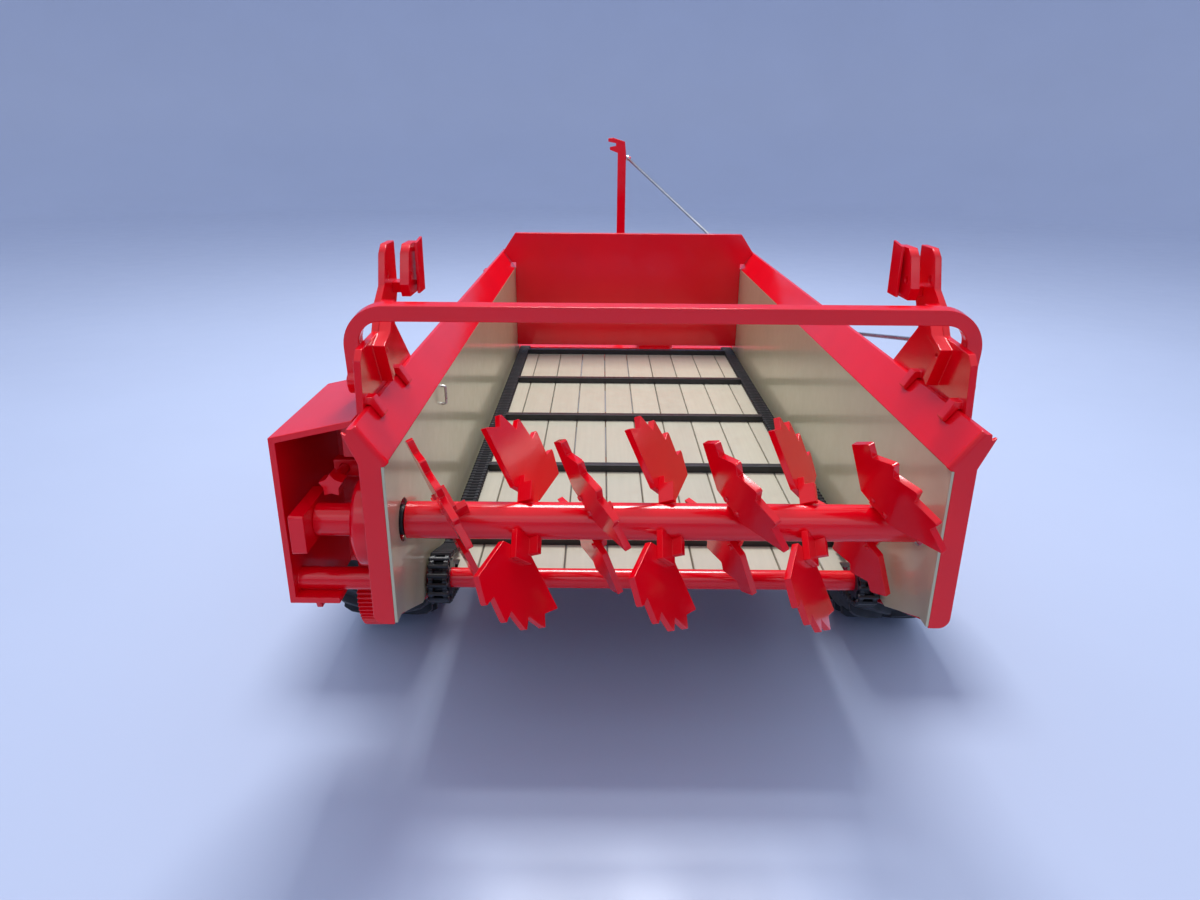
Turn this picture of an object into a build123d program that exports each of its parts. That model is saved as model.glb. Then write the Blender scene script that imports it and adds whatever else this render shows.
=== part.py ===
from build123d import *
from math import asin, atan2, ceil, cos, degrees, hypot, pi, radians, sin
import os

# All sizes are millimetres. +X is the right side, +Y is forward to the hitch, +Z is up.
# The parts are laid out from the top of the floor (Z = 0) and the rear edge of the side
# panels (Y = 0). The whole set is then moved so that the origin is the middle of the
# overall footprint, on the ground.

# ---- overall sizes -----------------------------------------------------------------
inner_width = 140.0
wall_height = 54.0
box_length = 334.0
hitch_y = box_length + 254.0
tyre_radius = 46.0
tyre_width = 37.0
axle_y = 135.0
axle_z = -18.0
ground_z = axle_z - tyre_radius

# ---- fits --------------------------------------------------------------------------
running_gap = 0.05
free_gap = 0.3

# ---- box ---------------------------------------------------------------------------
liner_t = 0.8
panel_t = 1.4
flare_run = 7.3
flare_rise = 9.8
lip_w = 1.3
bead_r = 1.3
flange_w = 5.6
plank_t = 2.0
plank_count = 10
plank_gap = 0.2
floor_rear = 47.5
skirt = 14.0
rear_tip_z = 9.0
skirt_start = 57.0
panel_end = box_length + 12.0

inner_x = inner_width / 2
panel_in = inner_x + liner_t
panel_out = panel_in + panel_t
fold_z = wall_height
flare_top = fold_z + flare_rise
flare_x = inner_x + flare_run
lip_x = flare_x + lip_w

# ---- beater ------------------------------------------------------------------------
beater_y = 15.0
beater_z = 32.7
beater_r = 5.1
journal_r = 2.5
station_pitch = 19.2
station_count = 7
paddle_tip_r = 29.5
paddle_t = 1.8
paddle_twist = 58.0
paddle_lean = -47.0
tooth_count = 5
tooth_first = -42.0
tooth_step = 16.7
tooth_depth = 3.4
bracket_t = 1.8

# ---- apron -------------------------------------------------------------------------
apron_y = 40.0
apron_z = 0.8
apron_r = 3.1
sprocket_r = 6.1
sprocket_teeth = 9
idler_r = 5.0
idler_y = box_length + 11.0
chain_w = 6.5
chain_band = 1.2
chain_lug = 1.0
chain_pitch = 5.6
chain_out = inner_x - 0.6
chain_in = chain_out - chain_w
chain_gap = 0.3
floor_contact_y = 61.0
slat_count = 5
slat_pitch = (box_length - 2.0) / slat_count
slat_start = 65.8
return_slat_start = 98.0
slat_h = 3.0
slat_d = 3.5

chain_t = chain_band + chain_lug
idler_z = -(idler_r + chain_gap)
return_z = idler_z - idler_r - chain_gap

# ---- running gear ------------------------------------------------------------------
rail_w = 4.4
rail_h = 8.5
rail_top = -6.0
rail_low = rail_top - rail_h
rail_out = panel_out + rail_w
rail_end = box_length + 40.0
cross_count = 4
cross_start = skirt_start + 23.0
cross_pitch = (box_length - 74.0) / cross_count
cross_w = 8.0
spindle_r = 3.5
wheel_gap = 7.9
track_in = rail_out + wheel_gap
rim_r = 27.0
arm_meet_y = hitch_y - 88.0
stand_y = hitch_y - 38.0
jack_y = hitch_y - 70.0
jack_travel = 28.0
bar_half = 5.0

# ---- left drive housing ------------------------------------------------------------
house_x = -(panel_out + 30.8)
house_y = 12.0
house_length = 51.0
house_low = 8.0
house_side_top = flare_top - 6.8
roof_in = flare_top - 1.8
house_t = 1.8
tie_bar_r = 3.2
gear_r = 14.6
gear_teeth = 60
side_shaft_x = house_x + 13.0
side_shaft_z = 40.0
side_shaft_r = 2.2
rear_bearing_y = box_length - 134.0
cross_shaft_y = box_length + 36.0
input_x = 20.0
input_z = rail_top + 9.0
input_r = 2.5
case_half = 12.0
case_h = 18.0
knob_x = house_x + 14.0
knob_z = 42.4
knob_stem_r = 1.4

# ---- towers, bow and control linkage ------------------------------------------------
tower_t = 2.0
tower_out = lip_x + tower_t
ear_gap = 4.2
ear_t = 2.6
ear_pin_y = 53.4
ear_pin_z = flare_top + 28.8
ear_pin_r = 1.2
bow_pivot_y = 33.0
bow_pivot_z = flare_top + 3.0
bow_bar_y = 30.5
bow_bar_z = flare_top + 22.8
bow_w = 4.4
bow_t = 4.2
bow_side_gap = 1.3
bow_in = tower_out + bow_side_gap
bow_pin_r = 1.5
arm_dy = 17.0
arm_dz = 8.0
arm_t = 1.6
rod_pin_r = 1.0
side_rod_r = 0.7
rocker_y = box_length + 27.0
rocker_z = 3.2
rocker_arm_dy = 2.0
rocker_arm_dz = 48.8
lever_pivot_z = 4.0
lever_pin_z = 114.0
lever_top_z = 130.0
lever_w = 7.0

arm_in = bow_in + free_gap
arm_out = arm_in + arm_t
bow_eye_y = bow_pivot_y + arm_dy
bow_eye_z = bow_pivot_z + arm_dz
rocker_eye_y = rocker_y + arm_dy
rocker_eye_z = rocker_z + arm_dz
rocker_pin_y = rocker_y + rocker_arm_dy
rocker_pin_z = rocker_z + rocker_arm_dz

pieces = []


def keep(name, part):
    part.label = name
    pieces.append(part)


def block(x, y, z):
    """Rectangular bar between two limits on each axis."""
    middle = ((x[0] + x[1]) / 2, (y[0] + y[1]) / 2, (z[0] + z[1]) / 2)
    with BuildPart() as bar:
        with Locations(middle):
            Box(abs(x[1] - x[0]), abs(y[1] - y[0]), abs(z[1] - z[0]))
    return bar.part


def round_bar(radius, x0, x1, y, z, bore=0.0):
    """Round bar along X, with a bore if one is given."""
    with BuildPart() as bar:
        with BuildSketch(Plane.YZ.offset(x0)):
            with Locations((y, z)):
                Circle(radius)
                if bore:
                    Circle(bore, mode=Mode.SUBTRACT)
        extrude(amount=x1 - x0)
    return bar.part


def plate(points, x0, x1, holes=(), corner=0.0):
    """Flat plate drawn in Y and Z and given its thickness along X."""
    with BuildPart() as sheet:
        with BuildSketch(Plane.YZ.offset(x0)):
            with BuildLine():
                if corner:
                    FilletPolyline(*points, radius=corner, close=True)
                else:
                    Polyline(*points, close=True)
            make_face()
            for y, z, r in holes:
                with Locations((y, z)):
                    Circle(r, mode=Mode.SUBTRACT)
        extrude(amount=x1 - x0)
    return sheet.part


def group(parts):
    """Separate solids kept together as one piece."""
    with BuildPart() as several:
        for one in parts:
            add(one)
    return several.part


def both_sides(part):
    return group([part, mirror(part, about=Plane.YZ)])


def bolt_x(x, y, z, side, head_r=1.5, head_h=1.1):
    """Hexagon head standing on a face at x and pointing along side."""
    with BuildPart() as bolt:
        with BuildSketch(Plane.YZ.offset(x)):
            with Locations((y, z)):
                RegularPolygon(head_r, 6)
        extrude(amount=side * head_h)
    return bolt.part


# ---- floor and box -----------------------------------------------------------------
def floor_planks():
    pitch = inner_width / plank_count
    lane_end = floor_rear + 6.0
    front = idler_y - idler_r - chain_t - free_gap
    planks = []
    for i in range(plank_count):
        low = -inner_x + i * pitch + plank_gap / 2
        high = low + pitch - plank_gap
        with BuildPart() as plank:
            add(block((low, high), (floor_rear, front), (-plank_t, 0.0)))
            top = plank.edges().filter_by(Axis.Y).group_by(Axis.Z)[-1]
            chamfer(top, length=0.35)
            if i in (0, plank_count - 1):
                side = -1 if i == 0 else 1
                lane = sorted((side * (chain_in - free_gap), side * inner_x))
                lane_cut = block(lane, (floor_rear - 1.0, lane_end), (-plank_t - 1.0, 1.0))
                add(lane_cut, mode=Mode.SUBTRACT)
        planks.append(plank.part)
    return group(planks)


def liner():
    points = [
        (0.0, rear_tip_z + 0.6),
        (0.0, fold_z),
        (panel_end, fold_z),
        (panel_end, -plank_t),
        (29.4, -plank_t),
        (4.6, rear_tip_z + 0.6),
    ]
    holes = [(beater_y, beater_z, beater_r + 0.9), (apron_y, apron_z, apron_r + 1.5)]
    return plate(points, inner_x, panel_in, holes)


def flare_bead():
    """Rolled bead along the rear end of the flare, standing on its upper face."""
    slope = atan2(flare_rise, flare_run)
    length = hypot(flare_run, flare_rise)
    start = (inner_x, bead_r, fold_z)
    along = (cos(slope), 0, sin(slope))
    with BuildPart() as bead:
        with BuildSketch(Plane(origin=start, x_dir=(0, 1, 0), z_dir=along)):
            Circle(bead_r)
            with Locations((0, -bead_r)):
                Rectangle(2 * bead_r, 2 * bead_r, mode=Mode.SUBTRACT)
        extrude(amount=length)
    return bead.part


def side_panel():
    nose = idler_y + idler_r + 8.0
    profile = [
        (0.0, rear_tip_z),
        (0.0, flare_top),
        (panel_end, flare_top),
        (panel_end, 10.0),
        (nose, 10.0),
        (nose, -skirt),
        (skirt_start, -skirt),
        (4.0, rear_tip_z),
    ]
    section = [
        (panel_in, -skirt),
        (panel_in, fold_z),
        (inner_x, fold_z),
        (flare_x, flare_top),
        (lip_x, flare_top),
        (lip_x, flare_top - 1.6),
        (panel_out, fold_z - 0.8),
        (panel_out, -skirt),
    ]
    flange = [
        (panel_out, rear_tip_z),
        (panel_in + flange_w, rear_tip_z),
        (panel_in + flange_w, fold_z + 0.6),
        (lip_x + 1.4, flare_top - 0.9),
        (lip_x, flare_top - 1.6),
        (panel_out, fold_z - 0.8),
    ]
    with BuildPart() as panel:
        with BuildSketch(Plane.XZ):
            with BuildLine():
                Polyline(*section, close=True)
            make_face()
        extrude(amount=-nose)
        with BuildSketch(Plane.YZ):
            with BuildLine():
                Polyline(*profile, close=True)
            make_face()
        extrude(amount=lip_x + 1.0, mode=Mode.INTERSECT)
        with BuildSketch(Plane.XZ) as rear_flange:
            with BuildLine():
                Polyline(*flange, close=True)
            make_face()
            corner = rear_flange.vertices().group_by(Axis.Y)[0].sort_by(Axis.X)[-1]
            fillet(corner, radius=3.0)
        extrude(amount=-panel_t)
        with BuildSketch(Plane.YZ.offset(panel_in)):
            with Locations((beater_y, beater_z)):
                Circle(beater_r + 0.9)
            with Locations((apron_y, apron_z)):
                Circle(apron_r + 1.5)
            with Locations((idler_y, idler_z)):
                Circle(2.5 + running_gap)
        extrude(amount=panel_t, mode=Mode.SUBTRACT)
        add(flare_bead())
    return panel.part


def front_board():
    flange_d = 8.0
    low = chain_t + slat_h
    y0 = box_length
    with BuildPart() as board:
        add(block((-inner_x, inner_x), (y0, y0 + panel_t), (low, fold_z)))
        top_w = inner_x - free_gap
        add(block((-top_w, top_w), (y0, y0 + panel_t), (fold_z, flare_top + 10.0)))
        add(block((-top_w, top_w), (y0, y0 + 5.0), (flare_top + 10.0, flare_top + 11.2)))
        for side in (-1, 1):
            span = sorted((side * inner_x, side * (inner_x - panel_t)))
            add(block(span, (y0, y0 + flange_d), (low, fold_z)))
            gusset = [
                (side * (top_w - 1.0), fold_z + 3.2),
                (side * (inner_x + 2.2), fold_z + 3.2),
                (side * flare_x, flare_top + 0.1),
                (side * top_w, flare_top + 11.2),
                (side * (top_w - 1.0), flare_top + 11.2),
            ]
            with BuildSketch(Plane.XZ.offset(-y0)):
                with BuildLine():
                    Polyline(*gusset, close=True)
                make_face()
            extrude(amount=-panel_t)
    return board.part


def front_board_bolts():
    bolts = []
    for z in (14.0, 28.0, 42.0):
        bolts.append(bolt_x(panel_out, box_length + 4.5, z, 1))
        bolts.append(bolt_x(inner_x - panel_t, box_length + 4.5, z, -1))
    return both_sides(group(bolts))


# ---- frame and running gear ----------------------------------------------------------
def frame_rail():
    with BuildPart() as rail:
        add(block((panel_out, rail_out), (skirt_start + 5.0, rail_end), (rail_low, rail_top)))
        inner = block(
            (panel_out + 1.4, rail_out), (skirt_start, rail_end + 1), (rail_low + 1.4, rail_top - 1.4)
        )
        add(inner, mode=Mode.SUBTRACT)
    return rail.part


def cross_members():
    bars = []
    for i in range(cross_count):
        y = (cross_start + i * cross_pitch, cross_start + i * cross_pitch + cross_w)
        bars.append(block((-panel_in, panel_in), y, (-plank_t - 6.0, -plank_t)))
    return group(bars)


def frame_bolts():
    bolts = []
    for i in range(cross_count):
        y = cross_start + cross_w / 2 + i * cross_pitch
        bolts.append(bolt_x(panel_out + 1.4, y, (rail_low + rail_top) / 2, 1))
    return both_sides(group(bolts))


def axle():
    beam_top = rail_low
    beam_low = 2 * axle_z - beam_top
    reach = track_in - 3.0
    with BuildPart() as bar:
        add(block((-reach, reach), (axle_y - 3.5, axle_y + 3.5), (beam_low, beam_top)))
        spindle = track_in + tyre_width - 9.0
        add(round_bar(spindle_r, -spindle, spindle, axle_y, axle_z))
        for side in (-1, 1):
            x = sorted((side * reach, side * (track_in + 2.0 - free_gap)))
            add(round_bar(7.0, x[0], x[1], axle_y, axle_z))
    return bar.part


def front_beam():
    """Cross beam that ties the rails to the drawbar arms."""
    return block((-rail_out, rail_out), (rail_end, rail_end + 9.0), (rail_low, rail_top))


def drawbar_arm():
    y0 = rail_end + 9.0
    points = [
        (rail_out - 10.0, y0),
        (rail_out, y0),
        (bar_half + 8.0, arm_meet_y),
        (bar_half, arm_meet_y),
        (bar_half, arm_meet_y - 14.0),
    ]
    with BuildPart() as arm:
        with BuildSketch(Plane.XY.offset(rail_low)):
            with BuildLine():
                Polyline(*points, close=True)
            make_face()
        extrude(amount=rail_h)
    return arm.part


def drawbar():
    return block((-bar_half, bar_half), (arm_meet_y - 26.0, hitch_y - 14.0), (rail_low, rail_top))


def hitch_clevis():
    tongue_t = 3.0
    gap = 6.0
    mid = (rail_low + rail_top) / 2
    y0 = hitch_y - 14.0
    with BuildPart() as clevis:
        add(block((-bar_half, bar_half), (y0, y0 + 3.0), (mid - 6.0, mid + 6.0)))
        for low in (mid + gap / 2, mid - gap / 2 - tongue_t):
            with BuildSketch(Plane.XY.offset(low)):
                with Locations((0, y0 + 5.5)):
                    Rectangle(2 * bar_half, 8.0)
                with Locations((0, hitch_y - bar_half)):
                    Circle(bar_half)
                    Circle(2.6, mode=Mode.SUBTRACT)
            extrude(amount=tongue_t)
    return clevis.part


def tyre():
    inner = track_in
    outer = track_in + tyre_width
    shoulder = 5.0
    tread = [
        (inner + 3.0, rim_r),
        (inner, rim_r + 5.0),
        (inner, tyre_radius - shoulder),
        (inner + shoulder, tyre_radius - 0.8),
        (inner + 8.0, tyre_radius - 0.8),
    ]
    rib = (tyre_width - 16.0) / 5
    for i in range(5):
        low = inner + 8.0 + i * rib
        if i % 2 == 0:
            tread += [(low, tyre_radius), (low + rib, tyre_radius)]
        else:
            tread += [(low, tyre_radius - 1.8), (low + rib, tyre_radius - 1.8)]
    tread += [
        (outer - 8.0, tyre_radius - 0.8),
        (outer - shoulder, tyre_radius - 0.8),
        (outer, tyre_radius - shoulder),
        (outer, rim_r + 5.0),
        (outer - 3.0, rim_r),
    ]
    with BuildPart() as ring:
        with BuildSketch(Plane.XY) as half:
            with BuildLine():
                Polyline(*tread, close=True)
            make_face()
        revolve(axis=Axis.X)
    return Pos(0, axle_y, axle_z) * ring.part


def rim():
    inner = track_in + 4.0
    outer = track_in + tyre_width - 4.0
    disc = track_in + tyre_width / 2 + 5.0
    wall = 1.6
    profile = [
        (inner, rim_r),
        (outer, rim_r),
        (outer, rim_r - wall),
        (disc + 3.0, rim_r - 4.0),
        (disc + 3.0, 12.0),
        (disc + 1.0, 10.0),
        (disc + 1.0, 8.0),
        (disc - 1.0, 8.0),
        (disc - 1.0, 11.0),
        (disc + 1.0, 13.0),
        (disc + 1.0, rim_r - 5.5),
        (inner, rim_r - wall),
    ]
    with BuildPart() as wheel:
        with BuildSketch(Plane.XY):
            with BuildLine():
                Polyline(*profile, close=True)
            make_face()
        revolve(axis=Axis.X)
        with BuildSketch(Plane.YZ.offset(disc - 2.0)):
            with PolarLocations(17.5, 6):
                Circle(2.4)
        extrude(amount=8.0, mode=Mode.SUBTRACT)
    return Pos(0, axle_y, axle_z) * wheel.part


def hub():
    disc = track_in + tyre_width / 2 + 5.0
    with BuildPart() as body:
        add(round_bar(8.0, track_in + 2.0, disc + 1.0, axle_y, axle_z))
        add(round_bar(9.9, disc + 1.0, disc + 2.6, axle_y, axle_z))
        add(round_bar(6.2, disc + 2.6, track_in + tyre_width - 5.0, axle_y, axle_z))
        bore_end = track_in + tyre_width - 9.0 + free_gap
        bore = round_bar(spindle_r + running_gap, track_in - 1.0, bore_end, axle_y, axle_z)
        add(bore, mode=Mode.SUBTRACT)
    return body.part


def hub_bolts():
    disc = track_in + tyre_width / 2 + 5.0
    bolts = []
    for i in range(5):
        angle = radians(72 * i + 90)
        y = axle_y + 8.0 * cos(angle)
        bolts.append(bolt_x(disc + 2.6, y, axle_z + 8.0 * sin(angle), 1, 1.3, 1.2))
    return group(bolts)


# ---- jack ---------------------------------------------------------------------------
def jack_x():
    return -(bar_half + 7.0)


def jack_tube():
    with BuildPart() as tube:
        with BuildSketch(Plane.XY.offset(ground_z + jack_travel + 3.0)):
            with Locations((jack_x(), jack_y)):
                Circle(4.4)
                Circle(3.2 + running_gap, mode=Mode.SUBTRACT)
        extrude(amount=75.0 - jack_travel)
        with BuildSketch(Plane.XY.offset(ground_z + 78.0)):
            with Locations((jack_x(), jack_y)):
                Circle(5.0)
        extrude(amount=2.0)
        with BuildSketch(Plane.XY.offset(rail_low)):
            with Locations((jack_x() + 4.7, jack_y)):
                Rectangle(4.6, 10.0)
            with Locations((jack_x(), jack_y)):
                Circle(4.4, mode=Mode.SUBTRACT)
        extrude(amount=rail_h)
    return tube.part


def jack_leg():
    with BuildPart() as leg:
        with BuildSketch(Plane.XY.offset(ground_z + 2.0)):
            with Locations((jack_x(), jack_y)):
                Circle(3.2)
        extrude(amount=jack_travel + 18.0)
    return leg.part


def jack_foot():
    with BuildPart() as foot:
        with BuildSketch(Plane.XY.offset(ground_z)):
            with Locations((jack_x(), jack_y)):
                Circle(10.0)
        extrude(amount=2.0)
        rim_edges = foot.edges().group_by(Axis.Z)[-1]
        chamfer(rim_edges, length=0.8)
    return foot.part


# ---- apron --------------------------------------------------------------------------
def tangent_angle(point, centre, radius, turn):
    """Angle on a circle where a line from an outside point touches it."""
    dy = point[0] - centre[0]
    dz = point[1] - centre[1]
    return atan2(dz, dy) + turn * (pi / 2 - asin(radius / hypot(dy, dz)))


def arc_points(centre, radius, start, end, steps):
    points = []
    for i in range(steps + 1):
        angle = start + (end - start) * i / steps
        points.append((centre[0] + radius * cos(angle), centre[1] + radius * sin(angle)))
    return points


def chain_path():
    """Inner face of the chain, from the floor round the idler and back over the sprocket."""
    rear = (apron_y, apron_z)
    front = (idler_y, idler_z)
    rear_r = sprocket_r + chain_gap
    front_r = idler_r + chain_gap
    landing = (floor_contact_y, 0.0)
    lift = (floor_contact_y, return_z)
    top_touch = tangent_angle(landing, rear, rear_r, 1)
    low_touch = tangent_angle(lift, rear, rear_r, -1)
    points = [landing]
    points += arc_points(front, front_r, pi / 2, -pi / 2, 16)
    points.append(lift)
    points += arc_points(rear, rear_r, low_touch, top_touch - 2 * pi, 18)
    return points


def walk(points, distance):
    """Point and outward normal at a distance along a closed path."""
    count = len(points)
    for i in range(count):
        a = points[i]
        b = points[(i + 1) % count]
        span = hypot(b[0] - a[0], b[1] - a[1])
        if distance <= span:
            dy = (b[0] - a[0]) / span
            dz = (b[1] - a[1]) / span
            at = (a[0] + dy * distance, a[1] + dz * distance)
            return at, (-dz, dy)
        distance -= span
    return points[0], (0.0, 1.0)


def apron_chain():
    path = chain_path()
    pairs = zip(path, path[1:] + path[:1])
    total = sum(hypot(b[0] - a[0], b[1] - a[1]) for a, b in pairs)
    lugs = ceil(total / chain_pitch)
    pitch = total / lugs
    outer = []
    for i in range(lugs):
        for share, height in ((0.08, chain_band), (0.1, chain_t), (0.6, chain_t), (0.62, chain_band)):
            at, normal = walk(path, (i + share) * pitch)
            outer.append((at[0] + normal[0] * height, at[1] + normal[1] * height))
    with BuildPart() as chain:
        with BuildSketch(Plane.YZ.offset(chain_in)):
            with BuildLine():
                Polyline(*outer, close=True)
            make_face()
            with BuildLine():
                Polyline(*path, close=True)
            make_face(mode=Mode.SUBTRACT)
        extrude(amount=chain_w)
    return chain.part


def apron_slats():
    slats = []
    half = chain_in
    for i in range(slat_count):
        y = slat_start + i * slat_pitch
        slats.append(block((-half, half), (y - slat_d / 2, y + slat_d / 2), (0.0, slat_h)))
        y = return_slat_start + i * slat_pitch
        if y < idler_y - 20.0:
            low = return_z - chain_t - 0.6
            slats.append(block((-half, half), (y - slat_d / 2, y + slat_d / 2), (low, return_z)))
    return group(slats)


def toothed_wheel(radius, root, teeth, x0, x1, y, z, bore=0.0):
    outline = []
    for i in range(teeth):
        for share, r in ((0.0, root), (0.22, radius), (0.5, radius), (0.72, root)):
            angle = 2 * pi * (i + share) / teeth
            outline.append((y + r * cos(angle), z + r * sin(angle)))
    holes = [(y, z, bore)] if bore else []
    return plate(outline, x0, x1, holes)


def apron_shaft():
    left = house_x + house_t + free_gap
    with BuildPart() as shaft:
        add(round_bar(apron_r, left, chain_out, apron_y, apron_z))
        add(round_bar(1.6, chain_out, panel_out + 2.0, apron_y, apron_z))
    return shaft.part


def apron_sprockets():
    wheel = toothed_wheel(
        sprocket_r, sprocket_r - 1.0, sprocket_teeth, chain_in, chain_out, apron_y, apron_z, apron_r
    )
    return both_sides(wheel)


def apron_gear():
    x0 = -panel_out - 16.5
    return toothed_wheel(gear_r, gear_r - 1.0, gear_teeth, x0, x0 + 5.0, apron_y, apron_z, apron_r)


def apron_bushes():
    left = round_bar(
        apron_r + 1.5, -panel_out, -inner_x, apron_y, apron_z, apron_r + running_gap
    )
    right = round_bar(apron_r + 1.5, inner_x, panel_out, apron_y, apron_z, 1.6 + running_gap)
    return group([left, right])


def idler_shaft():
    with BuildPart() as shaft:
        add(round_bar(2.5, -panel_out, panel_out, idler_y, idler_z))
    return shaft.part


def idler_wheels():
    wheel = toothed_wheel(idler_r, idler_r - 0.9, 8, chain_in, chain_out, idler_y, idler_z, 2.5)
    return both_sides(wheel)


# ---- beater -------------------------------------------------------------------------
def paddle_plane(x, lean, twist):
    """Plane of one paddle: local X runs across the blade and local Y points outward."""
    a = radians(lean)
    t = radians(twist)
    outward = Vector(0, -sin(a), cos(a))
    across = Vector(cos(t), sin(t) * cos(a), sin(t) * sin(a))
    return Plane(origin=(x, beater_y, beater_z), x_dir=across, z_dir=across.cross(outward))


def paddle_stations():
    """Shaft position, lean and twist of each paddle, two to a station."""
    places = []
    for i in range(station_count):
        x = (i - (station_count - 1) / 2) * station_pitch
        if i % 2 == 1:
            lean = paddle_lean
            twist = paddle_twist
        else:
            lean = paddle_lean + 90.0
            twist = 180.0 - paddle_twist
        places.append((x, lean, twist))
        places.append((x, lean + 180.0, 180.0 - twist))
    return places


def paddle_outline():
    points = []
    for i in range(tooth_count):
        angle = radians(tooth_first + i * tooth_step)
        if i > 0:
            notch = angle - radians(2.2)
            root = paddle_tip_r - tooth_depth
            points.append((root * sin(notch), root * cos(notch)))
        reach = paddle_tip_r - 2.5 if i == 0 else paddle_tip_r
        points.append((reach * sin(angle), reach * cos(angle)))
        blunt = angle + radians(1.6)
        points.append((reach * sin(blunt), reach * cos(blunt)))
    points.append((16.6, 20.4))
    points.append((7.6, 8.4))
    points.append((-4.2, 8.4))
    return points


def beater_paddles():
    blades = []
    for x, lean, twist in paddle_stations():
        with BuildPart() as blade:
            with BuildSketch(paddle_plane(x, lean, twist)):
                with BuildLine():
                    Polyline(*paddle_outline(), close=True)
                make_face()
            extrude(amount=paddle_t / 2, both=True)
            with BuildSketch(paddle_plane(x, lean, twist).offset(-paddle_t / 2)):
                with Locations((-1.4, 10.2), (3.4, 10.2)):
                    Circle(0.8)
            extrude(amount=-0.6)
        blades.append(blade.part)
    return group(blades)


def beater_brackets():
    """Angle tabs on the shaft: a foot against the blade and a short standing web."""
    tabs = []
    for x, lean, twist in paddle_stations():
        plane = paddle_plane(x, lean, twist)
        face = plane.offset(paddle_t / 2)
        with BuildPart() as tab:
            with BuildSketch(face):
                with Locations((1.0, 8.2)):
                    Rectangle(7.0, 8.0)
            extrude(amount=bracket_t)
            with BuildSketch(face):
                with Locations((-2.0, 7.0)):
                    Rectangle(bracket_t, 5.6)
            extrude(amount=4.6)
            add(round_bar(beater_r, -inner_x, inner_x, beater_y, beater_z), mode=Mode.SUBTRACT)
        tabs.append(tab.part)
    return group(tabs)


def beater_shaft():
    inner = inner_x - 1.0
    with BuildPart() as shaft:
        add(round_bar(beater_r, -inner, inner, beater_y, beater_z))
        add(round_bar(journal_r, -panel_out - 24.0, panel_out + 2.4, beater_y, beater_z))
    return shaft.part


def beater_bushes():
    bush = round_bar(beater_r - 0.9, inner_x - 0.6, panel_out, beater_y, beater_z, journal_r + running_gap)
    return both_sides(bush)


def drive_flange():
    x1 = -panel_out - 4.4
    disc = round_bar(12.5, x1 - 5.0, x1, beater_y, beater_z, journal_r)
    with BuildPart() as flange:
        add(disc)
        outer = flange.edges().filter_by(GeomType.CIRCLE).sort_by(Axis.X)[:2].sort_by(SortBy.LENGTH)[-1]
        chamfer(outer, length=1.2)
    return flange.part


def drive_hub():
    x1 = -panel_out - 9.4
    return round_bar(4.5, x1 - 11.9, x1, beater_y, beater_z, journal_r)


def crank_bar():
    x1 = -panel_out - 21.3
    with BuildPart() as bar:
        add(block((x1 - 4.0, x1), (beater_y - 10.5, beater_y + 10.5), (beater_z - 5.5, beater_z + 5.5)))
        fillet(bar.edges().filter_by(Axis.X), radius=0.8)
        add(round_bar(journal_r, x1 - 2.7, x1 + 1.0, beater_y, beater_z), mode=Mode.SUBTRACT)
    return bar.part


# ---- left drive housing ----------------------------------------------------------------
def housing_tab():
    """Square stop hung from the housing roof."""
    low, high = house_x + 16.0, house_x + 21.0
    slope = (roof_in - house_side_top) / (-tower_out - house_x)
    top = house_side_top - house_t - slope * house_x
    with BuildPart() as tab:
        with BuildSketch(Plane.XZ.offset(-house_y - 10.0)):
            with BuildLine():
                Polyline(
                    (low, roof_in - 14.0),
                    (high, roof_in - 14.0),
                    (high, top + slope * high),
                    (low, top + slope * low),
                    close=True,
                )
            make_face()
        extrude(amount=-3.0)
    return tab.part


def drive_housing():
    y1 = house_y + house_length
    wall_x = -panel_out
    low_wall = apron_z - apron_r - 2.6
    outer_side = [
        (house_y, house_low),
        (house_y, house_side_top),
        (y1, house_side_top),
        (y1, low_wall),
        (apron_y - 9.0, low_wall),
        (apron_y - 14.0, house_low),
    ]
    roof = [
        (house_x, house_side_top - house_t),
        (house_x, house_side_top),
        (-tower_out, roof_in),
        (-tower_out, roof_in - house_t),
    ]
    with BuildPart() as shell:
        add(plate(outer_side, house_x, house_x + house_t))
        with BuildSketch(Plane.XZ.offset(-house_y)):
            with BuildLine():
                Polyline(*roof, close=True)
            make_face()
        extrude(amount=-house_length)
        add(block((house_x, house_x + 14.0), (house_y, apron_y - 16.0), (house_low, house_low + house_t)))
        with BuildSketch(Plane.XZ.offset(-y1 + house_t)):
            with BuildLine():
                Polyline(
                    (house_x, low_wall),
                    (house_x, house_side_top - 0.2),
                    (-tower_out, roof_in - 0.2),
                    (-tower_out, fold_z - 3.0),
                    (wall_x, fold_z - 3.0),
                    (wall_x, low_wall),
                    close=True,
                )
            make_face()
            with Locations((side_shaft_x, side_shaft_z)):
                Circle(side_shaft_r + running_gap, mode=Mode.SUBTRACT)
        extrude(amount=-house_t)
        add(housing_tab())
        tie_z = house_low + house_t + tie_bar_r - 0.2
        add(round_bar(tie_bar_r, house_x + house_t, wall_x, house_y + 6.0, tie_z))
    return shell.part


def star_knob():
    outline = []
    for i in range(10):
        r = 3.4 if i % 2 == 0 else 2.2
        angle = pi / 2 + i * pi / 5
        outline.append((knob_x + r * cos(angle), knob_z + r * sin(angle)))
    with BuildPart() as knob:
        with BuildSketch(Plane.XZ.offset(-15.0)):
            with BuildLine():
                Polyline(*outline, close=True)
            make_face()
        extrude(amount=-5.0)
        with BuildSketch(Plane.XZ.offset(-20.0)):
            with Locations((knob_x, knob_z)):
                Circle(knob_stem_r)
        extrude(amount=-16.0)
    return knob.part


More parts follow.
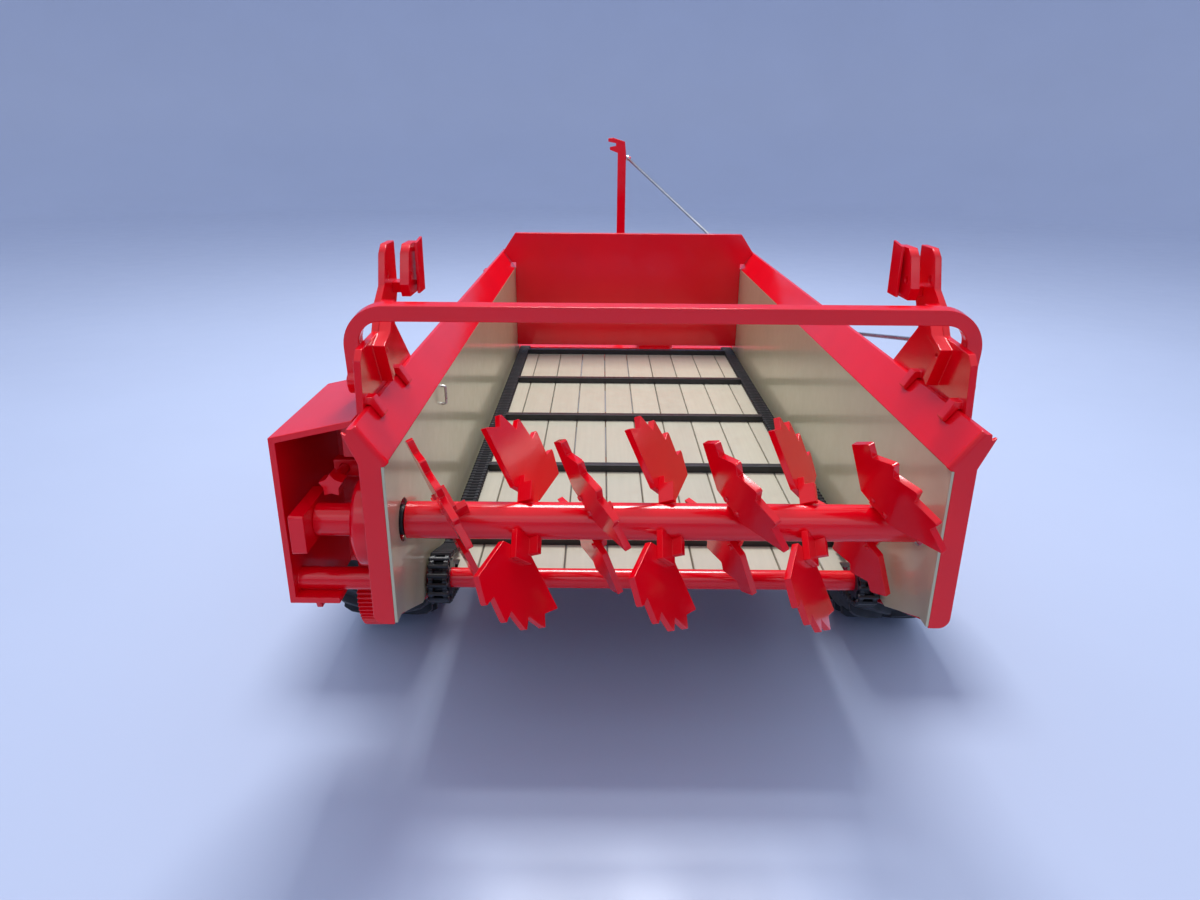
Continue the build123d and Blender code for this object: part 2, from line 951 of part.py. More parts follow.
def knob_bracket():
    """Lug on the side panel that carries the star knob's stem."""
    with BuildPart() as lug:
        add(block((knob_x - 3.0, -panel_out), (28.0, 32.0), (knob_z - 2.6, knob_z + 2.6)))
        with BuildSketch(Plane.XZ.offset(-28.0)):
            with Locations((knob_x, knob_z)):
                Circle(knob_stem_r + running_gap)
        extrude(amount=-4.0, mode=Mode.SUBTRACT)
    return lug.part


# ---- towers and bow ---------------------------------------------------------------------
def ear_outline():
    """Clevis ear in Y and Z, placed from its pin: upright front and leaning rear edge."""
    y = ear_pin_y
    z = ear_pin_z
    return [
        (y - 3.0, z - 5.6),
        (y - 4.6, z - 2.0),
        (y - 1.6, z + 6.6),
        (y + 1.4, z + 8.8),
        (y + 10.2, z + 8.8),
        (y + 10.2, z - 5.6),
    ]


def tower():
    y = ear_pin_y
    low = fold_z + 3.0
    column_top = ear_pin_z - 5.6
    outline = [
        (y - 37.4, low),
        (y - 35.4, flare_top + 12.4),
        (y - 32.9, flare_top + 14.9),
        (y - 15.9, flare_top + 15.7),
        (y - 10.4, column_top),
        *ear_outline()[1:],
        (y + 3.6, flare_top + 14.2),
        (y + 21.1, flare_top - 0.6),
        (y + 12.6, flare_top - 1.0),
        (y + 10.6, low),
    ]
    rib = [
        (y - 10.4, column_top),
        (y - 15.9, flare_top + 16.0),
        (y - 23.5, flare_top + 13.5),
        (y - 17.0, flare_top + 1.8),
        (y - 14.2, flare_top + 3.2),
        (y - 19.8, flare_top + 12.6),
        (y - 12.5, flare_top + 15.0),
        (y - 7.4, column_top),
    ]
    tab = [
        (lip_x, flare_top + 2.4),
        (lip_x, flare_top + 0.3),
        (flare_x + 0.2, flare_top + 0.3),
        (flare_x - 2.8, flare_top - 3.4),
        (flare_x - 3.6, flare_top - 2.2),
        (flare_x - 0.8, flare_top + 2.4),
    ]
    with BuildPart() as body:
        add(plate(outline, lip_x, tower_out, [(ear_pin_y, ear_pin_z, ear_pin_r)]))
        add(plate(rib, lip_x - 3.4, lip_x, [(y - 21.0, flare_top + 11.6, 0.7)]))
        for tab_y in (y - 34.6, y - 4.4):
            with BuildSketch(Plane.XZ.offset(-tab_y)):
                with BuildLine():
                    Polyline(*tab, close=True)
                make_face()
            extrude(amount=-4.0)
        add(round_bar(bow_pin_r, tower_out, bow_in + bow_w + 0.8, bow_pivot_y, bow_pivot_z))
    return body.part


def tower_ear():
    """Inner ear of the tower's clevis, its web to the column and its riveted keeper."""
    outer_face = lip_x - ear_gap
    inner_face = outer_face - ear_t
    with BuildPart() as ear:
        y = ear_pin_y
        low = ear_pin_z - 5.6
        hole = [(y, ear_pin_z, ear_pin_r)]
        add(plate(ear_outline(), inner_face, outer_face, hole))
        add(block((outer_face, lip_x), (y + 3.6, y + 10.2), (low, low + 3.0)))
        keeper = [(y + 2.4, low), (y + 2.4, low + 14.6), (y + 10.2, low + 15.6), (y + 10.2, low)]
        add(plate(keeper, inner_face - 1.6, inner_face - 0.8))
        for z in (low + 2.5, low + 12.4):
            add(round_bar(0.8, inner_face - 0.8, inner_face, y + 7.0, z))
    return ear.part


def bow():
    dy = bow_bar_y - bow_pivot_y
    dz = bow_bar_z - bow_pivot_z
    reach = hypot(dy, dz)
    up = Vector(0, dy / reach, dz / reach)
    across = Vector(1, 0, 0)
    plane = Plane(origin=(0, bow_pivot_y, bow_pivot_z), x_dir=across, z_dir=across.cross(up))
    outer = bow_in + bow_w
    arm = [
        (bow_pivot_y + 1.6, bow_pivot_z - 2.4),
        (bow_pivot_y - 1.6, bow_pivot_z + 2.4),
        (bow_eye_y - 1.4, bow_eye_z + 2.2),
        (bow_eye_y + 2.0, bow_eye_z + 1.6),
        (bow_eye_y + 2.0, bow_eye_z - 2.0),
    ]
    with BuildPart() as hoop:
        with BuildSketch(plane) as face:
            with Locations((0, (reach + bow_w / 2) / 2)):
                Rectangle(2 * outer, reach + bow_w / 2)
            top = face.vertices().group_by(Axis.Y)[-1]
            fillet(top, radius=12.0)
            with BuildSketch(plane, mode=Mode.PRIVATE) as opening:
                with Locations((0, (reach - bow_w / 2) / 2 - 5.0)):
                    Rectangle(2 * bow_in, reach - bow_w / 2 + 10.0)
                fillet(opening.vertices().group_by(Axis.Y)[-1], radius=6.2)
            add(opening.sketch_local, mode=Mode.SUBTRACT)
        extrude(amount=bow_t / 2, both=True)
        for side in (-1, 1):
            low = min(side * bow_in, side * outer)
            with BuildSketch(Plane.YZ.offset(low)):
                with Locations((bow_pivot_y, bow_pivot_z)):
                    Circle(3.6)
            extrude(amount=bow_w)
        add(plate(arm, arm_in, arm_out, corner=0.9))
        add(round_bar(rod_pin_r, arm_out, arm_out + 3.0, bow_eye_y, bow_eye_z))
        with BuildSketch(Plane.YZ.offset(-outer - 1)):
            with Locations((bow_pivot_y, bow_pivot_z)):
                Circle(bow_pin_r + running_gap)
        extrude(amount=2 * outer + 2, mode=Mode.SUBTRACT)
    return hoop.part


# ---- control linkage ------------------------------------------------------------------
def side_rod():
    dy = rocker_eye_y - bow_eye_y
    dz = rocker_eye_z - bow_eye_z
    length = hypot(dy, dz)
    x = arm_out + free_gap
    with BuildPart() as rod:
        add(round_bar(2.2, x, x + 1.6, bow_eye_y, bow_eye_z))
        add(round_bar(2.2, x, x + 1.6, rocker_eye_y, rocker_eye_z))
        along = Vector(0, dy / length, dz / length)
        start = (x + 0.8, bow_eye_y, bow_eye_z)
        with BuildSketch(Plane(origin=start, x_dir=(1, 0, 0), z_dir=along)):
            Circle(side_rod_r)
        extrude(amount=length)
        for y, z in ((bow_eye_y, bow_eye_z), (rocker_eye_y, rocker_eye_z)):
            add(round_bar(rod_pin_r + running_gap, x - 1, x + 3, y, z), mode=Mode.SUBTRACT)
    return rod.part


def rocker_bracket():
    x0 = panel_out
    with BuildPart() as bracket:
        y = (rocker_y - 6.0, rocker_y + 6.0)
        add(block((x0, rail_out), y, (rail_top, rocker_z + 6.0)))
        add(round_bar(1.5, rail_out, arm_out + 3.4, rocker_y, rocker_z))
    return bracket.part


def rocker():
    x0 = rail_out + free_gap
    long_arm = [
        (rocker_y - 3.4, rocker_z),
        (rocker_pin_y - 2.6, rocker_pin_z),
        (rocker_pin_y, rocker_pin_z + 2.8),
        (rocker_pin_y + 2.6, rocker_pin_z),
        (rocker_y + 3.4, rocker_z),
        (rocker_y, rocker_z - 3.4),
    ]
    short_arm = [
        (rocker_y + 1.8, rocker_z - 2.8),
        (rocker_y - 1.8, rocker_z + 2.8),
        (rocker_eye_y - 1.4, rocker_eye_z + 2.2),
        (rocker_eye_y + 2.0, rocker_eye_z + 1.6),
        (rocker_eye_y + 2.0, rocker_eye_z - 2.0),
    ]
    with BuildPart() as crank:
        add(round_bar(3.2, x0, arm_out, rocker_y, rocker_z))
        add(plate(long_arm, x0, x0 + 2.0, corner=0.6))
        add(round_bar(1.2, x0 - 4.0, x0, rocker_pin_y, rocker_pin_z))
        add(plate(short_arm, arm_in, arm_out, corner=0.6))
        add(round_bar(rod_pin_r, arm_out, arm_out + 3.0, rocker_eye_y, rocker_eye_z))
        add(round_bar(1.5 + running_gap, x0 - 1, arm_out + 1, rocker_y, rocker_z), mode=Mode.SUBTRACT)
    return crank.part


def lever_stand():
    with BuildPart() as stand:
        for side in (-1, 1):
            face = lever_w / 2 + free_gap
            x = sorted((side * face, side * (face + 1.2)))
            add(block(x, (stand_y - 7.0, stand_y + 7.0), (rail_top, lever_pivot_z + 5.0)))
        with BuildSketch(Plane.YZ.offset(-lever_w)):
            with Locations((stand_y, lever_pivot_z)):
                Circle(1.5)
        extrude(amount=2 * lever_w)
    return stand.part


def control_lever():
    half = lever_w / 2
    outline = [
        (-half, lever_pivot_z - 4.0),
        (half, lever_pivot_z - 4.0),
        (half, lever_top_z - 12.0),
        (half - 1.0, lever_top_z - 3.0),
        (-half - 4.0, lever_top_z),
        (-half - 8.0, lever_top_z - 0.6),
        (-half - 8.0, lever_top_z - 3.2),
        (-half - 1.5, lever_top_z - 4.4),
        (-half - 1.5, lever_top_z - 6.4),
        (-half - 6.6, lever_top_z - 7.4),
        (-half - 6.6, lever_top_z - 9.6),
        (-half, lever_top_z - 12.0),
    ]
    with BuildPart() as lever:
        with BuildSketch(Plane.XZ.offset(-stand_y - 1.5)):
            with BuildLine():
                Polyline(*outline, close=True)
            make_face()
        extrude(amount=3.0)
        add(block((-half, half), (stand_y - 3.0, stand_y + 3.0), (lever_pivot_z - 4.0, lever_pivot_z + 4.0)))
        add(round_bar(1.2, half, half + 4.0, stand_y, lever_pin_z))
        add(round_bar(1.5 + running_gap, -lever_w, lever_w, stand_y, lever_pivot_z), mode=Mode.SUBTRACT)
    return lever.part


def lever_rod():
    x0 = lever_w / 2 + free_gap
    eye_w = 2.0
    x1 = rail_out - eye_w
    near = Vector(x0 + eye_w / 2, stand_y, lever_pin_z)
    far = Vector(x1 + eye_w / 2, rocker_pin_y, rocker_pin_z)
    span = far - near
    with BuildPart() as rod:
        with BuildSketch(Plane(origin=near, x_dir=(0, 0, 1), z_dir=span.normalized())):
            Circle(1.1)
        extrude(amount=span.length)
        add(round_bar(2.6, x0, x0 + eye_w, stand_y, lever_pin_z))
        with BuildSketch(Plane.YZ.offset(x1)):
            with Locations((rocker_pin_y, rocker_pin_z)):
                SlotOverall(11.0, 6.0, rotation=90)
        extrude(amount=eye_w)
        hole = round_bar(1.2 + running_gap, x0 - 1, x0 + eye_w + 2, stand_y, lever_pin_z)
        add(hole, mode=Mode.SUBTRACT)
        with BuildSketch(Plane.YZ.offset(x1 - 2.0)):
            with Locations((rocker_pin_y, rocker_pin_z)):
                SlotOverall(7.0, 3.2, rotation=90)
        extrude(amount=eye_w + 4.0, mode=Mode.SUBTRACT)
    return rod.part


# ---- front drive ---------------------------------------------------------------------
def gearbox():
    y = (rail_end - 10.0, rail_end + 9.0)
    x = (input_x - case_half, input_x + case_half)
    with BuildPart() as case:
        add(block(x, y, (rail_top, rail_top + case_h)))
        fillet(case.edges().filter_by(Axis.Z), radius=2.0)
        with BuildSketch(Plane.XZ.offset(-y[1])):
            with Locations((input_x, input_z)):
                Circle(input_r + running_gap)
        extrude(amount=8.0, mode=Mode.SUBTRACT)
    return case.part


def gearbox_bolts():
    with BuildPart() as bolts:
        with BuildSketch(Plane.XY.offset(rail_top + case_h)):
            with GridLocations(16.0, 12.0, 2, 2):
                RegularPolygon(1.4, 6)
        extrude(amount=1.1)
    return Pos(input_x, rail_end - 0.5, 0) * bolts.part


def input_shaft():
    with BuildPart() as shaft:
        with BuildSketch(Plane.XZ.offset(-rail_end - 1.4)):
            with Locations((input_x, input_z)):
                Circle(input_r)
        extrude(amount=-24.0)
        with BuildSketch(Plane.XZ.offset(-rail_end - 9.3)):
            with Locations((input_x, input_z)):
                Circle(input_r + 1.5)
        extrude(amount=-2.0)
    return shaft.part


def side_shaft():
    length = rail_end - house_y - house_length + 8.0
    with BuildPart() as shaft:
        with BuildSketch(Plane.XZ.offset(-house_y - house_length + 8.0)):
            with Locations((side_shaft_x, side_shaft_z)):
                Circle(side_shaft_r)
        extrude(amount=-length)
        with BuildSketch(Plane.XZ.offset(-house_y - house_length + 14.0)):
            with Locations((side_shaft_x, side_shaft_z)):
                Circle(4.6)
        extrude(amount=-6.0)
    return shaft.part


def cross_shaft():
    left = side_shaft_x + 6.0 + free_gap
    right = input_x - case_half - free_gap
    return round_bar(side_shaft_r, left, right, cross_shaft_y, input_z)


def corner_case():
    """Gear case that turns the drive from the cross shaft up to the side shaft."""
    y = (rail_end + free_gap, rail_end + 12.0)
    x = (side_shaft_x - 6.0, side_shaft_x + 6.0)
    with BuildPart() as case:
        add(block(x, (cross_shaft_y - 6.0, y[0]), (rail_top, rail_top + 18.0)))
        add(block(x, y, (rail_top, side_shaft_z + 6.0)))
        fillet(case.edges().filter_by(Axis.Z), radius=1.0)
        add(block((x[1] - 1.5, -rail_out), (rail_end, rail_end + 9.0), (rail_low, rail_top + 3.0)))
    return case.part


def side_shaft_bearings():
    bearings = []
    for y in (rear_bearing_y, rail_end - 34.0):
        with BuildPart() as bearing:
            low = side_shaft_z - 5.0
            add(block((side_shaft_x - 4.0, -panel_out), (y, y + 6.0), (low, low + 10.0)))
            with BuildSketch(Plane.XZ.offset(-y)):
                with Locations((side_shaft_x, side_shaft_z)):
                    Circle(side_shaft_r + running_gap)
            extrude(amount=-6.0, mode=Mode.SUBTRACT)
        bearings.append(bearing.part)
    return group(bearings)


def mirrored(part):
    return mirror(part, about=Plane.YZ)


keep("floor_planks", floor_planks())
keep("right_liner", liner())
keep("left_liner", mirrored(liner()))
keep("right_side_panel", side_panel())
keep("left_side_panel", mirrored(side_panel()))
keep("front_board", front_board())
keep("body_bolts", group([front_board_bolts(), frame_bolts(), gearbox_bolts()]))
keep("frame_rails", both_sides(frame_rail()))
keep("cross_members", cross_members())
keep("axle", axle())
keep("front_beam", front_beam())
keep("right_drawbar_arm", drawbar_arm())
keep("left_drawbar_arm", mirrored(drawbar_arm()))
keep("drawbar", drawbar())
keep("hitch_clevis", hitch_clevis())
keep("right_tyre", tyre())
keep("right_rim", rim())
keep("right_hub", hub())
keep("right_hub_bolts", hub_bolts())
keep("left_tyre", mirrored(tyre()))
keep("left_rim", mirrored(rim()))
keep("left_hub", mirrored(hub()))
keep("left_hub_bolts", mirrored(hub_bolts()))
keep("jack_tube", jack_tube())
keep("jack_leg", jack_leg())
keep("jack_foot", jack_foot())
keep("right_apron_chain", apron_chain())
keep("left_apron_chain", mirrored(apron_chain()))
keep("apron_slats", apron_slats())
keep("apron_shaft", apron_shaft())
keep("apron_sprockets", apron_sprockets())
keep("apron_gear", apron_gear())
keep("idler_shaft", idler_shaft())
keep("idler_wheels", idler_wheels())
keep("beater_shaft", beater_shaft())
keep("beater_paddles", beater_paddles())
keep("beater_brackets", beater_brackets())
keep("shaft_bushes", group([beater_bushes(), apron_bushes()]))
keep("drive_flange", drive_flange())
keep("drive_hub", drive_hub())
keep("crank_bar", crank_bar())
keep("drive_housing", drive_housing())
keep("star_knob", star_knob())
keep("knob_bracket", knob_bracket())
keep("right_tower", tower())
keep("left_tower", mirrored(tower()))
keep("tower_ears", both_sides(tower_ear()))
keep("bow", bow())
keep("side_rod", side_rod())
keep("rocker_bracket", rocker_bracket())
keep("rocker", rocker())
keep("lever_stand", lever_stand())
keep("control_lever", control_lever())
keep("lever_rod", lever_rod())
keep("gearbox", gearbox())
keep("input_shaft", input_shaft())
keep("cross_shaft", cross_shaft())
keep("corner_case", corner_case())
keep("side_shaft", side_shaft())
keep("side_shaft_bearings", side_shaft_bearings())

# ---- one origin for the whole set, and one file for each piece ---------------------------
limits = Compound(children=[Pos(0, 0, 0) * one for one in pieces]).bounding_box()
shift = Vector(-(limits.min.X + limits.max.X) / 2, -(limits.min.Y + limits.max.Y) / 2, -limits.min.Z)
os.makedirs("parts", exist_ok=True)
for one in pieces:
    moved = Location(shift) * one
    moved.label = one.label
    export_step(moved, f"parts/{moved.label}.step")
print("nodes", len(pieces), "size", limits.size, "shift", shift)
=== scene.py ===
import math

import bpy
from bpy.props import FloatProperty, FloatVectorProperty, IntProperty, PointerProperty
from bpy.types import Operator, Panel, PropertyGroup
from mathutils import Matrix, Vector


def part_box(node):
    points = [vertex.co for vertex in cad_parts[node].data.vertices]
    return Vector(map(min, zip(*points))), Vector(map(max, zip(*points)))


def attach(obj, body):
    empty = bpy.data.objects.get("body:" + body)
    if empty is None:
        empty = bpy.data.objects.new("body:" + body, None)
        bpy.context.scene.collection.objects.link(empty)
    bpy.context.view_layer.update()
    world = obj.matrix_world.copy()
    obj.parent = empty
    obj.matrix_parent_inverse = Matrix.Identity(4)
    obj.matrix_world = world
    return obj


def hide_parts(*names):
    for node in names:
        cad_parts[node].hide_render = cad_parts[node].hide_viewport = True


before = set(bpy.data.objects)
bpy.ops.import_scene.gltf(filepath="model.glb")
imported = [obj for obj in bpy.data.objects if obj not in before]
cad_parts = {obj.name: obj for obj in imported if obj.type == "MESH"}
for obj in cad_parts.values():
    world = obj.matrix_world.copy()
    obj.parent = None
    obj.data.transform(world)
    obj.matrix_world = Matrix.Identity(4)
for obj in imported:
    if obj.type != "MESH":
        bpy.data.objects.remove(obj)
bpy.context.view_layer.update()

bl_info = {
    "name": "Box Spreader Finish",
    "version": (1, 0, 0),
    "blender": (4, 5, 0),
    "location": "View3D > Sidebar > Spreader",
    "description": "Finishes, chains, tyres and a studio stage for the model box spreader",
    "category": "Object",
}

MM = 0.001

TAN_LINERS = ["left_liner", "right_liner"]
BLACK_PARTS = ["apron_slats", "apron_sprockets", "idler_wheels", "shaft_bushes"]
STEEL_RODS = ["side_rod", "lever_rod", "jack_leg", "input_shaft"]
PLATED_BOLTS = ["body_bolts", "left_hub_bolts", "right_hub_bolts"]
FINE_RED_PARTS = ["apron_gear", "star_knob", "tower_ears", "beater_brackets", "beater_paddles"]
REPLACED_PARTS = ["left_apron_chain", "right_apron_chain", "left_tyre", "right_tyre"]


def linear(hex_colour, alpha=True):
    """Turns an sRGB hex colour into the linear values that shaders use."""
    values = []
    for at in (0, 2, 4):
        share = int(hex_colour.lstrip("#")[at:at + 2], 16) / 255.0
        values.append(share / 12.92 if share <= 0.04045 else ((share + 0.055) / 1.055) ** 2.4)
    return (*values, 1.0) if alpha else tuple(values)


def cad_middle(node):
    """Middle of a CAD node's box."""
    low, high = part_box(node)
    return (low + high) / 2


# ---- settings that a user would change ------------------------------------------------
class SpreaderColours(PropertyGroup):
    """Paint and moulding colours."""

    enamel: FloatVectorProperty(
        name="Red enamel", description="Colour of the body, beater and wheels",
        subtype="COLOR", size=4, min=0, max=1, default=linear("#EC0018"))
    liner: FloatVectorProperty(
        name="Liner paint", description="Colour of the side liners",
        subtype="COLOR", size=4, min=0, max=1, default=linear("#BDBA98"))
    planks: FloatVectorProperty(
        name="Plank paint", description="Colour of the floor planks",
        subtype="COLOR", size=4, min=0, max=1, default=linear("#BDB7A2"))
    moulding: FloatVectorProperty(
        name="Black moulding", description="Colour of the chains, slats and sprockets",
        subtype="COLOR", size=4, min=0, max=1, default=linear("#0B0D12"))
    rubber: FloatVectorProperty(
        name="Tyre rubber", description="Colour of the tyres",
        subtype="COLOR", size=4, min=0, max=1, default=linear("#23272C"))
    steel: FloatVectorProperty(
        name="Drawn steel", description="Colour of the bare rods",
        subtype="COLOR", size=4, min=0, max=1, default=linear("#B4B6B8"))
    plating: FloatVectorProperty(
        name="Zinc plating", description="Colour of the bolts",
        subtype="COLOR", size=4, min=0, max=1, default=linear("#C9C9C2"))


class SpreaderSizes(PropertyGroup):
    """Sizes of the detail that is added to the frame."""

    edge_round: FloatProperty(
        name="Edge rounding", description="Radius that the enamel gives to plate edges",
        subtype="DISTANCE", unit="LENGTH", default=0.28 * MM, min=0.0, max=1.0 * MM)
    fine_round: FloatProperty(
        name="Fine edge rounding", description="Radius on teeth and other small edges",
        subtype="DISTANCE", unit="LENGTH", default=0.14 * MM, min=0.0, max=0.5 * MM)
    link_pitch: FloatProperty(
        name="Link pitch", description="Spacing of the apron chain links",
        subtype="DISTANCE", unit="LENGTH", default=2.8 * MM, min=2.0 * MM, max=6.0 * MM)
    lug_depth: FloatProperty(
        name="Lug depth", description="Height of the tyre lugs over the carcass",
        subtype="DISTANCE", unit="LENGTH", default=2.6 * MM, min=0.5 * MM, max=4.0 * MM)
    lug_count: IntProperty(
        name="Lugs", description="Number of lugs on each side of a tyre",
        default=24, min=8, max=60)


class SpreaderStage(PropertyGroup):
    """Floor, backdrop and lamps."""

    floor: FloatVectorProperty(
        name="Floor", description="Colour of the pale sweep",
        subtype="COLOR", size=4, min=0, max=1, default=linear("#B9C5DD"))
    sky: FloatVectorProperty(
        name="Room light", description="Colour of the soft light from all round",
        subtype="COLOR", size=4, min=0, max=1, default=linear("#E6ECFF"))
    room_power: FloatProperty(
        name="Room strength", description="Strength of the light from all round",
        default=0.9, min=0.0, max=5.0)
    key_power: FloatProperty(
        name="Overhead lamp", description="Power of the overhead softbox in watts",
        unit="POWER", default=8.5, min=0.0, max=200.0)
    fill_power: FloatProperty(
        name="Fill lamp", description="Power of the softbox behind the viewer in watts",
        unit="POWER", default=3.0, min=0.0, max=200.0)


# ---- material helpers ------------------------------------------------------------------
def add_node(tree, kind, inputs=None, **settings):
    """Adds a node. An input that is a socket is linked, and any other is set as its value."""
    made = tree.nodes.new(kind)
    for name, value in settings.items():
        setattr(made, name, value)
    for name, value in (inputs or {}).items():
        if isinstance(value, bpy.types.NodeSocket):
            tree.links.new(value, made.inputs[name])
        else:
            made.inputs[name].default_value = value
    return made


def start_material(name, **surface):
    """A new material with its shader, and the object coordinates in metres."""
    material = bpy.data.materials.new(name)
    material.use_nodes = True
    tree = material.node_tree
    tree.nodes.clear()
    place = add_node(tree, "ShaderNodeTexCoord").outputs["Object"]
    shader = add_node(tree, "ShaderNodeBsdfPrincipled", surface)
    add_node(tree, "ShaderNodeOutputMaterial", {"Surface": shader.outputs["BSDF"]})
    return material, tree, place, shader


def noise(tree, place, size_mm, detail=2.0, rough=0.5, stretch=None):
    """Noise whose spots are about size_mm across; stretch scales it along each axis."""
    if stretch:
        place = add_node(tree, "ShaderNodeMapping", {"Vector": place, "Scale": stretch}).outputs["Vector"]
    scale = 1.0 / (size_mm * MM)
    made = add_node(tree, "ShaderNodeTexNoise",
                    {"Vector": place, "Scale": scale, "Detail": detail, "Roughness": rough})
    return made.outputs["Fac"]


def spread(tree, value, low, high, from_low=0.3, from_high=0.7):
    """Maps a value's middle range onto low to high."""
    made = add_node(tree, "ShaderNodeMapRange",
                    {"Value": value, "From Min": from_low, "From Max": from_high,
                     "To Min": low, "To Max": high})
    return made.outputs["Result"]


def shade(tree, colour, value, low, high):
    """A colour made darker or lighter by a value."""
    factor = spread(tree, value, low, high)
    made = add_node(tree, "ShaderNodeHueSaturation", {"Color": colour, "Value": factor})
    return made.outputs["Color"]


def bump(tree, height, depth_mm, strength=1.0, below=None):
    """Normal from a height that is depth_mm deep."""
    inputs = {"Height": height, "Distance": depth_mm * MM, "Strength": strength}
    if below:
        inputs["Normal"] = below
    return add_node(tree, "ShaderNodeBump", inputs).outputs["Normal"]


def link(tree, socket, shader, *names):
    for name in names:
        tree.links.new(socket, shader.inputs[name])


# ---- materials -------------------------------------------------------------------------
def enamel_paint():
    """Sprayed gloss enamel on die-cast zinc: a deep red under a clear glossy skin, with the
    slow ripple of orange peel in its reflections and a little haze."""
    peel_mm = 2.2
    ripple_mm = 9.0
    peel_depth_mm = 0.003
    ripple_depth_mm = 0.018
    colour = tuple(bpy.context.scene.spreader_colours.enamel)
    material, tree, place, shader = start_material("Gloss enamel", **{
        "IOR": 1.5, "Metallic": 0.0, "Specular IOR Level": 0.5})
    broad = noise(tree, place, 38.0)
    link(tree, shade(tree, colour, broad, 0.94, 1.05), shader, "Base Color")
    link(tree, spread(tree, noise(tree, place, 6.0, 4.0), 0.11, 0.18), shader, "Roughness")
    ripple = bump(tree, noise(tree, place, ripple_mm, 1.0), ripple_depth_mm, 0.7)
    peel = bump(tree, noise(tree, place, peel_mm, 1.0), peel_depth_mm, 0.8, ripple)
    link(tree, peel, shader, "Normal")
    return material


def liner_paint():
    """Tan enamel on thin sheet: half-gloss, with faint upright mill ripples that blur what it
    reflects."""
    colour = tuple(bpy.context.scene.spreader_colours.liner)
    material, tree, place, shader = start_material("Liner enamel", **{
        "IOR": 1.5, "Metallic": 0.0, "Coat Weight": 0.6, "Coat Roughness": 0.12, "Coat IOR": 1.5})
    broad = noise(tree, place, 45.0, 3.0)
    link(tree, shade(tree, colour, broad, 0.93, 1.04), shader, "Base Color")
    link(tree, spread(tree, noise(tree, place, 4.0, 4.0), 0.3, 0.42), shader, "Roughness")
    mill = noise(tree, place, 1.6, 2.0, stretch=(1.0, 0.25, 1.0))
    peel = bump(tree, noise(tree, place, 7.0, 1.0), 0.05, 0.7, bump(tree, mill, 0.008, 0.7))
    link(tree, peel, shader, "Normal", "Coat Normal")
    return material


def plank_paint():
    """Satin paint on moulded floor boards: each board has its own tint, with a long shallow
    grain along it."""
    low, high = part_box("floor_planks")
    board = (high.x - low.x) / BOARD_COUNT
    colour = tuple(bpy.context.scene.spreader_colours.planks)
    material, tree, place, shader = start_material("Plank paint", **{
        "IOR": 1.5, "Metallic": 0.0, "Coat Weight": 0.25, "Coat Roughness": 0.2})
    parts = add_node(tree, "ShaderNodeSeparateXYZ", {"Vector": place})
    across = add_node(tree, "ShaderNodeMath", {0: parts.outputs["X"], 1: board}, operation="DIVIDE")
    number = add_node(tree, "ShaderNodeMath", {0: across.outputs[0]}, operation="FLOOR")
    tint = add_node(tree, "ShaderNodeTexWhiteNoise", {"W": number.outputs[0]}, noise_dimensions="1D")
    own = shade(tree, colour, tint.outputs["Value"], 0.95, 1.03)
    grain = noise(tree, place, 1.4, 4.0, 0.6, stretch=(1.0, 0.04, 1.0))
    factor = spread(tree, grain, 0.955, 1.03)
    grained = add_node(tree, "ShaderNodeHueSaturation", {"Color": own, "Value": factor})
    link(tree, grained.outputs["Color"], shader, "Base Color")
    link(tree, spread(tree, noise(tree, place, 5.0, 3.0), 0.36, 0.5), shader, "Roughness")
    link(tree, bump(tree, grain, 0.03, 0.6), shader, "Normal")
    return material


def black_moulding():
    """Black nylon from an injection mould: low gloss, with the fine grain of a spark-eroded
    tool and paler rubbed patches."""
    colour = tuple(bpy.context.scene.spreader_colours.moulding)
    material, tree, place, shader = start_material("Black nylon", **{
        "IOR": 1.53, "Metallic": 0.0})
    link(tree, shade(tree, colour, noise(tree, place, 8.0, 3.0), 0.7, 1.8), shader, "Base Color")
    link(tree, spread(tree, noise(tree, place, 2.5, 4.0), 0.3, 0.5), shader, "Roughness")
    link(tree, bump(tree, noise(tree, place, 0.35, 2.0), 0.012, 0.5), shader, "Normal")
    return material


def tyre_rubber():
    """Moulded tyre rubber: soft grey-black with dust in its grain and almost no gloss."""
    colour = tuple(bpy.context.scene.spreader_colours.rubber)
    material, tree, place, shader = start_material("Tyre rubber", **{
        "IOR": 1.52, "Metallic": 0.0, "Sheen Weight": 0.12, "Sheen Roughness": 0.5})
    link(tree, shade(tree, colour, noise(tree, place, 14.0, 4.0), 0.82, 1.2), shader, "Base Color")
    link(tree, spread(tree, noise(tree, place, 3.0, 4.0), 0.55, 0.75), shader, "Roughness")
    link(tree, bump(tree, noise(tree, place, 0.5, 3.0), 0.03, 0.6), shader, "Normal")
    return material


def drawn_steel():
    """Drawn steel wire and turned shafts: grey metal with long fine lines along the rod, so
    that its highlight is stretched and slightly broken."""
    colour = tuple(bpy.context.scene.spreader_colours.steel)
    material, tree, place, shader = start_material("Drawn steel", **{"Metallic": 1.0})
    link(tree, shade(tree, colour, noise(tree, place, 12.0, 3.0), 0.85, 1.05), shader, "Base Color")
    lines = noise(tree, place, 0.4, 3.0, stretch=(1.0, 0.03, 1.0))
    link(tree, spread(tree, lines, 0.24, 0.4), shader, "Roughness")
    link(tree, bump(tree, lines, 0.006, 0.5), shader, "Normal")
    return material


